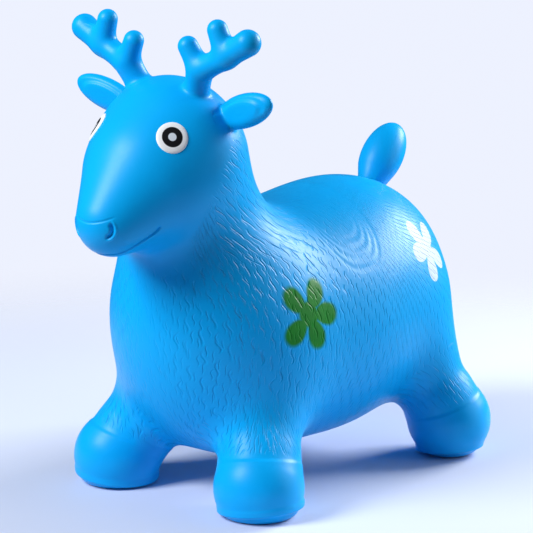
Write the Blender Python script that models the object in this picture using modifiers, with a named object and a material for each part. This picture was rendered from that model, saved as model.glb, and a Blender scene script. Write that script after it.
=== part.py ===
"""Bouncy ride-on deer: an inflatable PVC hopper with antlers, ears, tail and four feet.

Metres, +Z up. The deer faces -Y, +X is its left side, and X = 0 is its plane of symmetry.
The origin is on the floor, under the middle of the deer's bounding box.

The real deer is one air-filled skin. Balls and rods of named sizes are blended into that skin.
It is then parted into the zones that flex against each other: trunk, neck, head, legs, hooves,
antlers, ears and tail. The air inside each zone is taken as solid. The valve and the eyes are
pieces of their own.
"""

import math

import bpy
import numpy as np
from mathutils import Matrix, Quaternion, Vector

# Trunk
BARREL_ALONG = 0.0694
BARREL_HEIGHT = 0.1633
BARREL_HALF_WIDTH = 0.1307
BARREL_HALF_LENGTH = 0.1722
BARREL_HALF_DEPTH = 0.1318

RUMP_BEHIND = 0.0702
RUMP_ABOVE = 0.0283
RUMP_HALF_WIDTH = 0.1079
RUMP_HALF_LENGTH = 0.1209
RUMP_HALF_DEPTH = 0.1094
RUMP_REACH = 0.0491

CHEST_AHEAD = 0.1301
CHEST_ABOVE = 0.0049
CHEST_HALF_WIDTH = 0.1136
CHEST_HALF_LENGTH = 0.1143
CHEST_HALF_DEPTH = 0.1293
CHEST_TILT_DEG = 10.6
CHEST_REACH = 0.0798

# Neck and head
NECK_BASE_AHEAD = 0.0286
NECK_BASE_ABOVE = 0.0556
NECK_LENGTH = 0.1326
NECK_LEAN_DEG = 14.7
NECK_BASE_RADIUS = 0.0805
NECK_TOP_RADIUS = 0.0655
NECK_REACH = 0.0621
COLLAR_ABOVE_BASE = 0.0442
THROAT_ABOVE_COLLAR = 0.0486
THROAT_LEAN_DEG = 37.0

SKULL_AHEAD = 0.0166
SKULL_ABOVE = 0.0162
SKULL_HALF_WIDTH = 0.0787
SKULL_HALF_LENGTH = 0.0592
SKULL_HALF_DEPTH = 0.0745
SKULL_REACH = 0.0403

MUZZLE_START_AHEAD = 0.0296
MUZZLE_START_BELOW = 0.0234
MUZZLE_LENGTH = 0.0671
MUZZLE_LEAN_DEG = 121.5
MUZZLE_BACK_RADIUS = 0.0682
MUZZLE_TIP_RADIUS = 0.0365
MUZZLE_REACH = 0.0450

# Legs and hooves: sideways from the middle, along from the barrel's centre
FORE_TOP_SIDE = 0.0466
FORE_TOP_AHEAD = 0.1272
FORE_TOP_BELOW = 0.0307
FORE_TOP_RADIUS = 0.0496
FORE_ANKLE_RADIUS = 0.0359
FORE_HOOF_SIDE = 0.0884
FORE_HOOF_AHEAD = 0.1742
FORE_HOOF_HEIGHT = 0.0492
FORE_HOOF_DROP = 0.0256
FORE_HOOF_OUT_DEG = 20.6
FORE_HOOF_AHEAD_DEG = 30.0
FORE_HOOF_TOP_RADIUS = 0.0414
FORE_HOOF_RADIUS = 0.0465
FORE_LINE_HEIGHT = 0.0503

HIND_TOP_SIDE = 0.0608
HIND_TOP_BEHIND = 0.0883
HIND_TOP_RADIUS = 0.0565
HIND_ANKLE_RADIUS = 0.0314
HIND_HOOF_SIDE = 0.1120
HIND_HOOF_BEHIND = 0.1129
HIND_HOOF_HEIGHT = 0.0563
HIND_HOOF_DROP = 0.0190
HIND_HOOF_OUT_DEG = 18.6
HIND_HOOF_BEHIND_DEG = 13.6
HIND_HOOF_TOP_RADIUS = 0.0422
HIND_HOOF_RADIUS = 0.0459
HIND_LINE_HEIGHT = 0.0582

HOOF_LINE_OUT_DEG = 13.0
HOOF_LINE_ALONG_DEG = 15.8
ANKLE_REACH = 0.015
LEG_REACH = 0.053
SOLE_REACH = 0.007
FOOT_TRAVEL = 0.018
LEG_SLEEVE_MARGIN = 0.012
LEG_CEILING_ABOVE_TRAVEL = 0.045

# Tail: its root lies on the rump, in this direction from the rump's centre
TAIL_ROOT_DEG = -30.4
TAIL_LEAN_DEG = -41.0
TAIL_MIDDLE_FROM_ROOT = 0.0342
TAIL_HALF_LENGTH = 0.0414
TAIL_HALF_WIDTH = 0.0235
TAIL_REACH = 0.0127
TAIL_BALL_RADIUS = 0.0240
TAIL_ZONE_FLARE = 0.30

# Antlers: the root lies on the skull, in this direction from the skull's centre
ANTLER_ROOT_OUT_DEG = 30.5
ANTLER_ROOT_AHEAD_DEG = 3.0
STEM_LENGTH = 0.0228
STEM_OUT_DEG = 25.5
STEM_AHEAD_DEG = 14.2
BEAM_LENGTH = 0.0367
BEAM_OUT_DEG = 64.3
BEAM_AHEAD_DEG = -0.2
BROW_TINE_LENGTH = 0.0265
BROW_TINE_OUT_DEG = -27.7
BROW_TINE_AHEAD_DEG = 8.0
TOP_TINE_LENGTH = 0.0274
TOP_TINE_OUT_DEG = -18.8
TOP_TINE_AHEAD_DEG = 4.6
OUTER_TINE_LENGTH = 0.0302
OUTER_TINE_OUT_DEG = 59.5
OUTER_TINE_AHEAD_DEG = -2.8
STEM_RADIUS = 0.0135
BROW_FORK_RADIUS = 0.0125
TOP_FORK_RADIUS = 0.0112
TINE_RADIUS = 0.0114
TINE_TIP_RADIUS = 0.0103
OUTER_TIP_RADIUS = 0.0132
FORK_REACH = 0.012
ANTLER_REACH = 0.014
ANTLER_BALL_RADIUS = 0.0175
ANTLER_ZONE_FLARE = 1.00

# Ears: the root lies on the skull, in this direction from the skull's centre
EAR_ROOT_OUT_DEG = 59.5
EAR_ROOT_AHEAD_DEG = -8.0
EAR_LEAN_DEG = 72.0
EAR_SWEEP_DEG = 6.9
EAR_ROLL_DEG = 6.4
EAR_MIDDLE_FROM_ROOT = 0.0257
EAR_HALF_LENGTH = 0.0398
EAR_HALF_WIDTH = 0.0170
EAR_HALF_DEPTH = 0.0105
EAR_REACH = 0.010
EAR_BALL_RADIUS = 0.0195
EAR_ZONE_FLARE = 0.10

# Eyes: printed vinyl discs on the skin
EYE_OUT_DEG = 62.2
EYE_AHEAD_DEG = 43.1
EYE_RADIUS = 0.0168
EYE_THICKNESS = 0.0008

# Valve under the belly
VALVE_BEHIND = 0.010
FLANGE_RADIUS = 0.0150
FLANGE_THICKNESS = 0.0022
BOSS_RADIUS = 0.0078
BOSS_DEPTH = 0.0200
BORE_RADIUS = 0.0045
PLUG_HEAD_RADIUS = 0.0095
PLUG_HEAD_THICKNESS = 0.0026
PLUG_FACE_RADIUS = 0.0080
PLUG_TIP_RADIUS = 0.0032
PLUG_RIB = 0.0004
PLUG_LENGTH = 0.0160

# Fits and mesh
SEAM_GAP = 0.0003
CUT_OVERRUN = 0.30
SKIN_VOXEL = 0.0056
GRADIENT_STEP = 0.0010
SOLE_SNAP = 0.0003
SKIN_TRIANGLES = 7000
RELAX_ROUNDS = 4
EYE_RINGS = 3
ROUND_CUT_SIDES = 36
BALL_SIDES = 24
SWIVEL_SIDES = 32
TURNED_SIDES = 20
MERGE_DISTANCE = 0.00001

SIDES = {"left": 1, "right": -1}
PVC_BLUE = (0.010, 0.255, 0.870, 1.0)
HOOF_BLUE = (0.008, 0.235, 0.830, 1.0)
EYE_WHITE = (0.90, 0.91, 0.92, 1.0)
VALVE_WHITE = (0.82, 0.84, 0.86, 1.0)
SATIN_ROUGHNESS = 0.38
VALVE_ROUGHNESS = 0.45


def heading(out_deg, ahead_deg, side=1):
    """Unit vector leaning from +Z outwards to the given side, and ahead to -Y."""
    out, ahead = math.radians(out_deg), math.radians(ahead_deg)
    return Vector((side * math.sin(out) * math.cos(ahead), -math.sin(ahead),
                   math.cos(out) * math.cos(ahead)))


class Ball:
    """An ellipsoid; the columns of its turn are the directions of its radii."""

    def __init__(self, centre, radii, turn=Matrix.Identity(3)):
        self.centre = Vector(centre)
        self.radii = Vector(radii)
        self.turn = turn

    def distance(self, points):
        """Close estimate of the distance: k (k - 1) / |gradient of k|, where k is the scaled radius."""
        local = (points - np.array(self.centre)) @ np.array(self.turn)
        radii = np.array(self.radii)
        scaled = np.linalg.norm(local / radii, axis=-1)
        slope = np.linalg.norm(local / radii ** 2, axis=-1)
        return scaled * (scaled - 1.0) / np.maximum(slope, 1e-6)

    def add(self):
        """The same ellipsoid as a UV sphere."""
        place = Matrix.Translation(self.centre) @ self.turn.to_4x4() @ Matrix.Diagonal(self.radii).to_4x4()
        return [add_sphere(place)]


class Rod:
    """A round cone: the hull of two balls."""

    def __init__(self, start, end, start_radius, end_radius):
        self.start, self.end = Vector(start), Vector(end)
        self.start_radius, self.end_radius = start_radius, end_radius

    def distance(self, points):
        """Exact distance, in the plane through the axis: to an end's circle or to the slanted side."""
        start = np.array(self.start)
        axis = np.array(self.end - self.start)
        length = np.linalg.norm(axis)
        along = (points - start) @ (axis / length)
        away = np.sqrt(np.maximum(((points - start) ** 2).sum(-1) - along ** 2, 0.0))
        slope = (self.start_radius - self.end_radius) / length
        rise = math.sqrt(max(1.0 - slope * slope, 1e-6))
        foot = along * rise - away * slope
        to_start = np.hypot(along, away) - self.start_radius
        to_end = np.hypot(along - length, away) - self.end_radius
        to_side = along * slope + away * rise - self.start_radius
        return np.where(foot < 0.0, to_start, np.where(foot > length * rise, to_end, to_side))

    def add(self):
        """Both end balls and the cone between them, as primitives."""
        ends = [add_sphere(Matrix.Translation(centre) @ Matrix.Scale(radius, 4))
                for centre, radius in ((self.start, self.start_radius), (self.end, self.end_radius))]
        axis = self.end - self.start
        turn = axis.to_track_quat("Z", "Y").to_matrix().to_4x4()
        bpy.ops.mesh.primitive_cone_add(vertices=BALL_SIDES, depth=axis.length,
                                        radius1=self.start_radius, radius2=self.end_radius)
        cone = bpy.context.object
        cone.data.transform(Matrix.Translation((self.start + self.end) / 2) @ turn)
        return ends + [cone]


def add_sphere(place):
    """A unit UV sphere put in place by a matrix."""
    bpy.ops.mesh.primitive_uv_sphere_add(segments=BALL_SIDES, ring_count=BALL_SIDES // 2, radius=1.0)
    sphere = bpy.context.object
    sphere.data.transform(place)
    return sphere


def tilt(angle_deg):
    """A turn about X."""
    return Matrix.Rotation(math.radians(angle_deg), 3, "X")


def blend(first, second, reach):
    """The nearer of two distances, rounded where they differ by less than the reach."""
    overlap = np.maximum(reach - np.abs(first - second), 0.0) / reach
    return np.minimum(first, second) - overlap ** 3 * reach / 6.0


def joined(parts):
    """A distance built from a list of (part, reach): each part is blended to those before it."""
    def distance(points):
        total = None
        for part, reach in parts:
            found = part.distance(points) if hasattr(part, "distance") else part(points)
            total = found if total is None else blend(total, found, reach)
        return total
    return distance


def gradient(distance, points):
    """Unit gradient of a distance, by central differences."""
    slopes = np.empty_like(points)
    for axis in range(3):
        offset = np.zeros(3)
        offset[axis] = GRADIENT_STEP
        slopes[:, axis] = distance(points + offset) - distance(points - offset)
    return slopes / np.maximum(np.linalg.norm(slopes, axis=1, keepdims=True), 1e-9)


def reach_surface(distance, start, direction):
    """The point where a ray that starts inside a form comes out of it."""
    point = np.array([start], dtype=float)
    step = np.array(direction, dtype=float)
    for _ in range(60):
        point = point - distance(point)[:, None] * step
    return Vector(point[0])


# The forms, from the trunk outwards
barrel_centre = Vector((0, BARREL_ALONG, BARREL_HEIGHT))
barrel = Ball(barrel_centre, (BARREL_HALF_WIDTH, BARREL_HALF_LENGTH, BARREL_HALF_DEPTH))
rump_centre = barrel_centre + Vector((0, RUMP_BEHIND, RUMP_ABOVE))
rump = Ball(rump_centre, (RUMP_HALF_WIDTH, RUMP_HALF_LENGTH, RUMP_HALF_DEPTH))
chest_centre = barrel_centre + Vector((0, -CHEST_AHEAD, CHEST_ABOVE))
chest = Ball(chest_centre, (CHEST_HALF_WIDTH, CHEST_HALF_LENGTH, CHEST_HALF_DEPTH), tilt(CHEST_TILT_DEG))
trunk_distance = joined([(barrel, 0), (rump, RUMP_REACH), (chest, CHEST_REACH)])

neck_base = chest_centre + Vector((0, -NECK_BASE_AHEAD, NECK_BASE_ABOVE))
neck_axis = heading(0, NECK_LEAN_DEG)
neck_top = neck_base + neck_axis * NECK_LENGTH
neck = Rod(neck_base, neck_top, NECK_BASE_RADIUS, NECK_TOP_RADIUS)
skull_centre = neck_top + Vector((0, -SKULL_AHEAD, SKULL_ABOVE))
skull = Ball(skull_centre, (SKULL_HALF_WIDTH, SKULL_HALF_LENGTH, SKULL_HALF_DEPTH))
muzzle_start = skull_centre + Vector((0, -MUZZLE_START_AHEAD, -MUZZLE_START_BELOW))
muzzle_tip = muzzle_start + heading(0, MUZZLE_LEAN_DEG) * MUZZLE_LENGTH
muzzle = Rod(muzzle_start, muzzle_tip, MUZZLE_BACK_RADIUS, MUZZLE_TIP_RADIUS)
head_distance = joined([(skull, 0), (muzzle, MUZZLE_REACH)])
bare_distance = joined([(trunk_distance, 0), (neck, NECK_REACH), (head_distance, SKULL_REACH)])


class Leg:
    """One leg: a rod from the trunk to the hoof, and the hoof's rod down to its sole."""

    def __init__(self, side, fore):
        toward = -1 if fore else 1
        if fore:
            self.top = barrel_centre + Vector((side * FORE_TOP_SIDE, -FORE_TOP_AHEAD, -FORE_TOP_BELOW))
            top_radius, ankle_radius = FORE_TOP_RADIUS, FORE_ANKLE_RADIUS
            self.hoof = Vector((side * FORE_HOOF_SIDE, BARREL_ALONG - FORE_HOOF_AHEAD, FORE_HOOF_HEIGHT))
            drop = heading(FORE_HOOF_OUT_DEG, -FORE_HOOF_AHEAD_DEG, -side) * FORE_HOOF_DROP
            upper, self.radius, line_height = FORE_HOOF_TOP_RADIUS, FORE_HOOF_RADIUS, FORE_LINE_HEIGHT
        else:
            self.top = barrel_centre + Vector((side * HIND_TOP_SIDE, HIND_TOP_BEHIND, 0))
            top_radius, ankle_radius = HIND_TOP_RADIUS, HIND_ANKLE_RADIUS
            self.hoof = Vector((side * HIND_HOOF_SIDE, BARREL_ALONG + HIND_HOOF_BEHIND, HIND_HOOF_HEIGHT))
            drop = heading(HIND_HOOF_OUT_DEG, HIND_HOOF_BEHIND_DEG, -side) * HIND_HOOF_DROP
            upper, self.radius, line_height = HIND_HOOF_TOP_RADIUS, HIND_HOOF_RADIUS, HIND_LINE_HEIGHT
        self.sole = self.hoof - drop
        self.shank_rod = Rod(self.top, self.hoof, top_radius, ankle_radius)
        self.hoof_rod = Rod(self.hoof, self.sole, upper, self.radius)
        self.distance = joined([(self.shank_rod, 0), (self.hoof_rod, ANKLE_REACH)])
        self.line_centre = Vector((self.hoof.x, self.hoof.y, line_height))
        self.line_normal = heading(HOOF_LINE_OUT_DEG, HOOF_LINE_ALONG_DEG * toward, -side)


class Antler:
    """A stem to the brow fork, a beam to the top fork, and three tines."""

    def __init__(self, side):
        self.root = reach_surface(head_distance, skull_centre,
                                  heading(ANTLER_ROOT_OUT_DEG, ANTLER_ROOT_AHEAD_DEG, side))
        self.axis = heading(STEM_OUT_DEG, STEM_AHEAD_DEG, side)
        brow_fork = self.root + self.axis * STEM_LENGTH
        top_fork = brow_fork + heading(BEAM_OUT_DEG, BEAM_AHEAD_DEG, side) * BEAM_LENGTH
        brow_tip = brow_fork + heading(BROW_TINE_OUT_DEG, BROW_TINE_AHEAD_DEG, side) * BROW_TINE_LENGTH
        top_tip = top_fork + heading(TOP_TINE_OUT_DEG, TOP_TINE_AHEAD_DEG, side) * TOP_TINE_LENGTH
        outer_tip = top_fork + heading(OUTER_TINE_OUT_DEG, OUTER_TINE_AHEAD_DEG, side) * OUTER_TINE_LENGTH
        self.forms = [Rod(self.root, brow_fork, STEM_RADIUS, BROW_FORK_RADIUS),
                      Rod(brow_fork, top_fork, BROW_FORK_RADIUS, TOP_FORK_RADIUS),
                      Rod(brow_fork, brow_tip, TINE_RADIUS, TINE_TIP_RADIUS),
                      Rod(top_fork, outer_tip, TINE_RADIUS, OUTER_TIP_RADIUS),
                      Rod(top_fork, top_tip, TINE_RADIUS, TINE_TIP_RADIUS)]
        self.span = (outer_tip - self.root).length + OUTER_TIP_RADIUS

    def distance(self, points):
        stem = np.minimum(self.forms[0].distance(points), self.forms[1].distance(points))
        for tine in self.forms[2:]:
            stem = blend(stem, tine.distance(points), FORK_REACH)
        return stem


class Ear:
    """A flattened, leaf-like ellipsoid whose inner end is in the skull."""

    def __init__(self, side):
        self.root = reach_surface(head_distance, skull_centre,
                                  heading(EAR_ROOT_OUT_DEG, EAR_ROOT_AHEAD_DEG, side))
        self.axis = heading(EAR_LEAN_DEG, EAR_SWEEP_DEG, side)
        back = (Vector((0, 1, 0)) - self.axis * self.axis.y).normalized()
        back.rotate(Quaternion(self.axis, math.radians(EAR_ROLL_DEG * side)))
        leaf = Ball(self.root + self.axis * EAR_MIDDLE_FROM_ROOT,
                    (EAR_HALF_LENGTH, EAR_HALF_DEPTH, EAR_HALF_WIDTH),
                    Matrix((self.axis, back, self.axis.cross(back))).transposed())
        self.forms = [leaf]
        self.distance = leaf.distance
        self.span = EAR_MIDDLE_FROM_ROOT + EAR_HALF_LENGTH


class Tail:
    """An egg that leans back, with its narrow end in the rump."""

    def __init__(self):
        self.root = reach_surface(trunk_distance, rump_centre, heading(0, TAIL_ROOT_DEG))
        self.axis = heading(0, TAIL_LEAN_DEG)
        egg = Ball(self.root + self.axis * TAIL_MIDDLE_FROM_ROOT,
                   (TAIL_HALF_WIDTH, TAIL_HALF_WIDTH, TAIL_HALF_LENGTH), tilt(TAIL_LEAN_DEG))
        self.forms = [egg]
        self.distance = egg.distance
        self.span = TAIL_MIDDLE_FROM_ROOT + TAIL_HALF_LENGTH


legs = {f"{end}_{name}": Leg(side, end == "fore")
        for end in ("fore", "hind") for name, side in SIDES.items()}
antlers = {name: Antler(side) for name, side in SIDES.items()}
ears = {name: Ear(side) for name, side in SIDES.items()}
tail = Tail()

limbs = [(leg, LEG_REACH) for leg in legs.values()] + [(tail, TAIL_REACH)]
limbs += [(antler, ANTLER_REACH) for antler in antlers.values()]
limbs += [(ear, EAR_REACH) for ear in ears.values()]
limbed_distance = joined([(bare_distance, 0)] + limbs)


def skin_distance(points):
    """The whole skin, cut flat by the floor with a rounded edge round each sole."""
    return -blend(-limbed_distance(points), points[:, 2], SOLE_REACH)


def clear_scene():
    for old in list(bpy.data.objects):
        bpy.data.objects.remove(old, do_unlink=True)


def new_collection(name):
    collection = bpy.data.collections.new(name)
    bpy.context.scene.collection.children.link(collection)
    return collection


def move_to(thing, collection):
    for holder in list(thing.users_collection):
        holder.objects.unlink(thing)
    collection.objects.link(thing)


def as_mesh(thing, name):
    """The evaluated shape of an object as a new mesh; the object is removed."""
    graph = bpy.context.evaluated_depsgraph_get()
    mesh = bpy.data.meshes.new_from_object(thing.evaluated_get(graph))
    mesh.transform(thing.matrix_world)
    mesh.name = name
    bpy.data.objects.remove(thing, do_unlink=True)
    return mesh


def read_points(mesh):
    points = np.empty(len(mesh.vertices) * 3)
    mesh.vertices.foreach_get("co", points)
    return points.reshape(-1, 3)


def write_points(mesh, points):
    mesh.vertices.foreach_set("co", points.ravel())
    mesh.update()


def settle_on_skin(points):
    """Move points onto the blended skin along its gradient."""
    for _ in range(3):
        points = points - gradient(skin_distance, points) * skin_distance(points)[:, None]
    return points


def relax(points, ends):
    """Move each point half way to the middle of its neighbours along the mesh's edges."""
    total = np.zeros_like(points)
    count = np.zeros(len(points))
    for here, there in (ends, ends[::-1]):
        np.add.at(total, here, points[there])
        np.add.at(count, here, 1)
    return (points + total / count[:, None]) / 2


def make_skin():
    """The closed skin: the forms' primitives are remeshed as one, settled on the blend and thinned."""
    forms = [barrel, rump, chest, neck, skull, muzzle]
    for leg in legs.values():
        forms += [leg.shank_rod, leg.hoof_rod]
    for limb in [tail, *antlers.values(), *ears.values()]:
        forms += limb.forms
    solids = [solid for form in forms for solid in form.add()]
    bpy.ops.object.select_all(action="DESELECT")
    for solid in solids:
        solid.select_set(True)
    bpy.context.view_layer.objects.active = solids[0]
    bpy.ops.object.join()
    lump = bpy.context.object
    remesh = lump.modifiers.new("one_skin", "REMESH")
    remesh.mode = "VOXEL"
    remesh.voxel_size = SKIN_VOXEL
    mesh = as_mesh(lump, "skin_fine")

    ends = np.empty(len(mesh.edges) * 2, dtype=int)
    mesh.edges.foreach_get("vertices", ends)
    ends = ends.reshape(-1, 2).T
    points = settle_on_skin(read_points(mesh))
    for _ in range(RELAX_ROUNDS):
        points = settle_on_skin(relax(points, ends))
    write_points(mesh, points)

    fine = bpy.data.objects.new("skin_fine", mesh)
    bpy.context.scene.collection.objects.link(fine)
    thin = fine.modifiers.new("fewer_faces", "DECIMATE")
    thin.ratio = min(1.0, SKIN_TRIANGLES / (2 * len(mesh.polygons)))
    thin.use_symmetry = True
    thin.symmetry_axis = "X"
    skin = as_mesh(fine, "skin")
    points = read_points(skin)
    points[np.abs(points[:, 2]) < SOLE_SNAP, 2] = 0.0
    write_points(skin, points)
    return skin


def material(name, colour, roughness):
    """A plain plastic of one colour."""
    made = bpy.data.materials.new(name)
    made.use_nodes = True
    shader = made.node_tree.nodes["Principled BSDF"]
    shader.inputs["Base Color"].default_value = colour
    shader.inputs["Roughness"].default_value = roughness
    shader.inputs["Metallic"].default_value = 0.0
    return made


def place(name, mesh, origin, finish, collection):
    """An object for a mesh in world coordinates, with its own origin."""
    mesh = mesh.copy()
    mesh.name = name
    mesh.transform(Matrix.Translation(-Vector(origin)))
    thing = bpy.data.objects.new(name, mesh)
    thing.location = origin
    collection.objects.link(thing)
    mesh.materials.clear()
    mesh.materials.append(finish)
    mesh.shade_smooth()
    mesh.set_sharp_from_angle(angle=math.radians(40))
    return thing


def keep(thing, cutter):
    """Keep only what lies inside a cutter."""
    cut = thing.modifiers.new("keep_" + cutter.name, "BOOLEAN")
    cut.operation = "INTERSECT"
    cut.object = cutter


def remove(thing, cutter):
    """Take away what lies inside a cutter."""
    cut = thing.modifiers.new("remove_" + cutter.name, "BOOLEAN")
    cut.operation = "DIFFERENCE"
    cut.object = cutter


def as_cutter(thing, name):
    thing.name = name
    thing.hide_render = True
    thing.display_type = "WIRE"
    move_to(thing, cutters)
    return thing


def cone_cutter(name, base, axis, base_radius, end_radius, length):
    """A cone or cylinder from a base point along an axis."""
    bpy.ops.mesh.primitive_cone_add(vertices=ROUND_CUT_SIDES, depth=length,
                                    radius1=base_radius, radius2=end_radius)
    thing = bpy.context.object
    thing.rotation_mode = "QUATERNION"
    thing.rotation_quaternion = axis.to_track_quat("Z", "Y")
    thing.location = base + axis * (length / 2)
    return as_cutter(thing, name)


def ball_cutter(name, centre, radius):
    bpy.ops.mesh.primitive_uv_sphere_add(segments=SWIVEL_SIDES, ring_count=SWIVEL_SIDES // 2, radius=radius,
                                         location=centre)
    return as_cutter(bpy.context.object, name)


def half_space(name, point, normal):
    """A block that fills the side of a plane that its normal points to."""
    bpy.ops.mesh.primitive_cube_add(size=CUT_OVERRUN * 4)
    thing = bpy.context.object
    thing.rotation_mode = "QUATERNION"
    thing.rotation_quaternion = normal.to_track_quat("Z", "Y")
    thing.location = point + normal * (CUT_OVERRUN * 2)
    return as_cutter(thing, name)


def swivel_zone(name, limb, ball_radius, flare, gap):
    """All of a limb beyond the ball at its root, in a widening cone.

    The gap makes the zone larger on the side of its neighbour.
    """
    base = limb.root + limb.axis * (ball_radius / 2 - gap)
    base_radius = ball_radius + gap
    height = limb.span + ball_radius
    zone = cone_cutter(name, base, limb.axis, base_radius, base_radius + height * flare, height)
    remove(zone, ball_cutter(name + "_ball", limb.root, ball_radius - gap))
    return zone


def leg_zone(name, leg, gap):
    """The upright sleeve that holds a hoof, its travel and the flexing leg above it."""
    middle = (leg.hoof + leg.sole) / 2
    radius = leg.radius + LEG_SLEEVE_MARGIN + gap
    ceiling = leg.line_centre.z + FOOT_TRAVEL + LEG_CEILING_ABOVE_TRAVEL + gap
    base = Vector((middle.x, middle.y, -leg.radius))
    return cone_cutter(name, base, Vector((0, 0, 1)), radius, radius, ceiling + leg.radius)


def make_limbs(skin, collection, blue, hoof_blue):
    """Legs, hooves, antlers, ears and tail; returns what the trunk and the head lose to them."""
    trunk_cuts, head_cuts = [], []
    for name, leg in legs.items():
        sleeve = leg_zone(name + "_sleeve", leg, 0)
        seam = leg.line_normal * SEAM_GAP
        below = half_space(name + "_below_line", leg.line_centre, -leg.line_normal)
        above = half_space(name + "_above_line", leg.line_centre + seam, leg.line_normal)
        hoof = place(name + "_hoof", skin, leg.line_centre, hoof_blue, collection)
        keep(hoof, sleeve)
        keep(hoof, below)
        shank = place(name + "_leg", skin, leg.line_centre, blue, collection)
        keep(shank, sleeve)
        keep(shank, above)
        trunk_cuts.append(leg_zone(name + "_pocket", leg, SEAM_GAP))
    swivels = [("tail", tail, TAIL_BALL_RADIUS, TAIL_ZONE_FLARE, trunk_cuts)]
    for name in SIDES:
        swivels.append(("antler_" + name, antlers[name], ANTLER_BALL_RADIUS, ANTLER_ZONE_FLARE, head_cuts))
        swivels.append(("ear_" + name, ears[name], EAR_BALL_RADIUS, EAR_ZONE_FLARE, head_cuts))
    for name, limb, ball_radius, flare, cuts in swivels:
        piece = place(name, skin, limb.root, blue, collection)
        keep(piece, swivel_zone(name + "_zone", limb, ball_radius, flare, 0))
        cuts.append(swivel_zone(name + "_room", limb, ball_radius, flare, SEAM_GAP))
    return trunk_cuts, head_cuts


def make_core(skin, collection, blue, trunk_cuts, head_cuts, valve_pocket):
    """Head, neck and trunk, parted by planes across the throat and the neck's base.

    The tail's tip stands higher than the collar plane, so its room is cut from the neck too.
    """
    tail_room = trunk_cuts[-1]
    collar = neck_base + neck_axis * COLLAR_ABOVE_BASE
    throat = collar + neck_axis * THROAT_ABOVE_COLLAR
    across_throat = heading(0, THROAT_LEAN_DEG)

    above_throat = half_space("above_throat", throat, across_throat)
    from_throat = half_space("from_throat", throat - across_throat * SEAM_GAP, across_throat)
    above_collar = half_space("above_collar", collar, neck_axis)
    from_collar = half_space("from_collar", collar - neck_axis * SEAM_GAP, neck_axis)

    head = place("head", skin, skull_centre, blue, collection)
    for cut in head_cuts:
        remove(head, cut)
    keep(head, above_throat)

    throat_piece = place("neck", skin, neck_base, blue, collection)
    remove(throat_piece, from_throat)
    remove(throat_piece, tail_room)
    keep(throat_piece, above_collar)

    trunk = place("trunk", skin, barrel_centre, blue, collection)
    for cut in trunk_cuts:
        remove(trunk, cut)
    remove(trunk, from_collar)
    remove(trunk, valve_pocket)


def turned(name, profile, place):
    """A turned mesh, put in place by a matrix, from its profile of (radius, height) from top to bottom."""
    mesh = bpy.data.meshes.new(name)
    points = [(radius, 0, height) for radius, height in profile]
    mesh.from_pydata(points, [(i, i + 1) for i in range(len(points) - 1)], [])
    thing = bpy.data.objects.new(name, mesh)
    bpy.context.scene.collection.objects.link(thing)
    screw = thing.modifiers.new("turn", "SCREW")
    screw.axis = "Z"
    screw.steps = screw.render_steps = TURNED_SIDES
    screw.use_merge_vertices = True
    screw.merge_threshold = MERGE_DISTANCE
    made = as_mesh(thing, name)
    made.transform(place)
    return made


def seat_profile(gap):
    """The seat's outer side: a boss inside the skin and a flange flush under the belly."""
    top, step = BOSS_DEPTH + gap, FLANGE_THICKNESS + gap
    return [(0, top), (BOSS_RADIUS + gap, top), (BOSS_RADIUS + gap, step), (FLANGE_RADIUS + gap, step)]


def make_valve(collection, white):
    """A flanged seat let into the belly, and the plug that is pushed into it from below."""
    centre = reach_surface(trunk_distance, barrel_centre + Vector((0, VALVE_BEHIND, 0)), Vector((0, 0, -1)))
    in_belly = Matrix.Translation(centre)
    recess_radius = PLUG_HEAD_RADIUS + SEAM_GAP
    recess_depth = FLANGE_THICKNESS / 2
    bore_top = BOSS_DEPTH - FLANGE_THICKNESS
    seat = turned("valve_seat", seat_profile(0) + [
        (FLANGE_RADIUS, 0), (recess_radius, 0), (recess_radius, recess_depth), (BORE_RADIUS, recess_depth),
        (BORE_RADIUS, bore_top), (0, bore_top)], in_belly)
    place("valve_seat", seat, centre, white, collection)

    stem_top = recess_depth + PLUG_LENGTH
    stem_radius = BORE_RADIUS - SEAM_GAP - PLUG_RIB
    rib_pitch = PLUG_LENGTH / 4
    profile = [(0, stem_top), (PLUG_TIP_RADIUS, stem_top)]
    for rib in range(3):
        top = stem_top - rib_pitch * (rib + 1)
        profile += [(stem_radius, top + rib_pitch / 4), (stem_radius + PLUG_RIB, top),
                    (stem_radius, top - rib_pitch / 4)]
    under_head = recess_depth - SEAM_GAP
    face = under_head - PLUG_HEAD_THICKNESS
    profile += [(stem_radius, under_head), (PLUG_HEAD_RADIUS, under_head),
                (PLUG_HEAD_RADIUS, under_head - PLUG_HEAD_THICKNESS / 2),
                (PLUG_FACE_RADIUS, face), (0, face)]
    place("valve_plug", turned("valve_plug", profile, in_belly), centre, white, collection)

    pocket = turned("valve_pocket", seat_profile(SEAM_GAP) + [
        (FLANGE_RADIUS + SEAM_GAP, -FLANGE_RADIUS), (0, -FLANGE_RADIUS)], in_belly)
    thing = bpy.data.objects.new("valve_pocket", pocket)
    bpy.context.scene.collection.objects.link(thing)
    return as_cutter(thing, "valve_pocket")


def make_eye(name, side, collection, white):
    """A printed vinyl disc that follows the skin, one seam gap above it."""
    centre = reach_surface(head_distance, skull_centre, heading(EYE_OUT_DEG, EYE_AHEAD_DEG, side))
    normal = Vector(gradient(skin_distance, np.array([centre]))[0])
    facing = Matrix.Translation(centre) @ normal.to_track_quat("Z", "Y").to_matrix().to_4x4()
    flat = turned(name, [(EYE_RADIUS * ring / EYE_RINGS, 0) for ring in range(EYE_RINGS + 1)], facing)
    points = read_points(flat)
    along = np.array(normal)
    for _ in range(8):
        points = points - (skin_distance(points) - SEAM_GAP)[:, None] * along
    write_points(flat, points)
    thing = place(name, flat, centre, white, collection)
    thickness = thing.modifiers.new("vinyl", "SOLIDIFY")
    thickness.thickness = EYE_THICKNESS
    thickness.offset = 1.0


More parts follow.
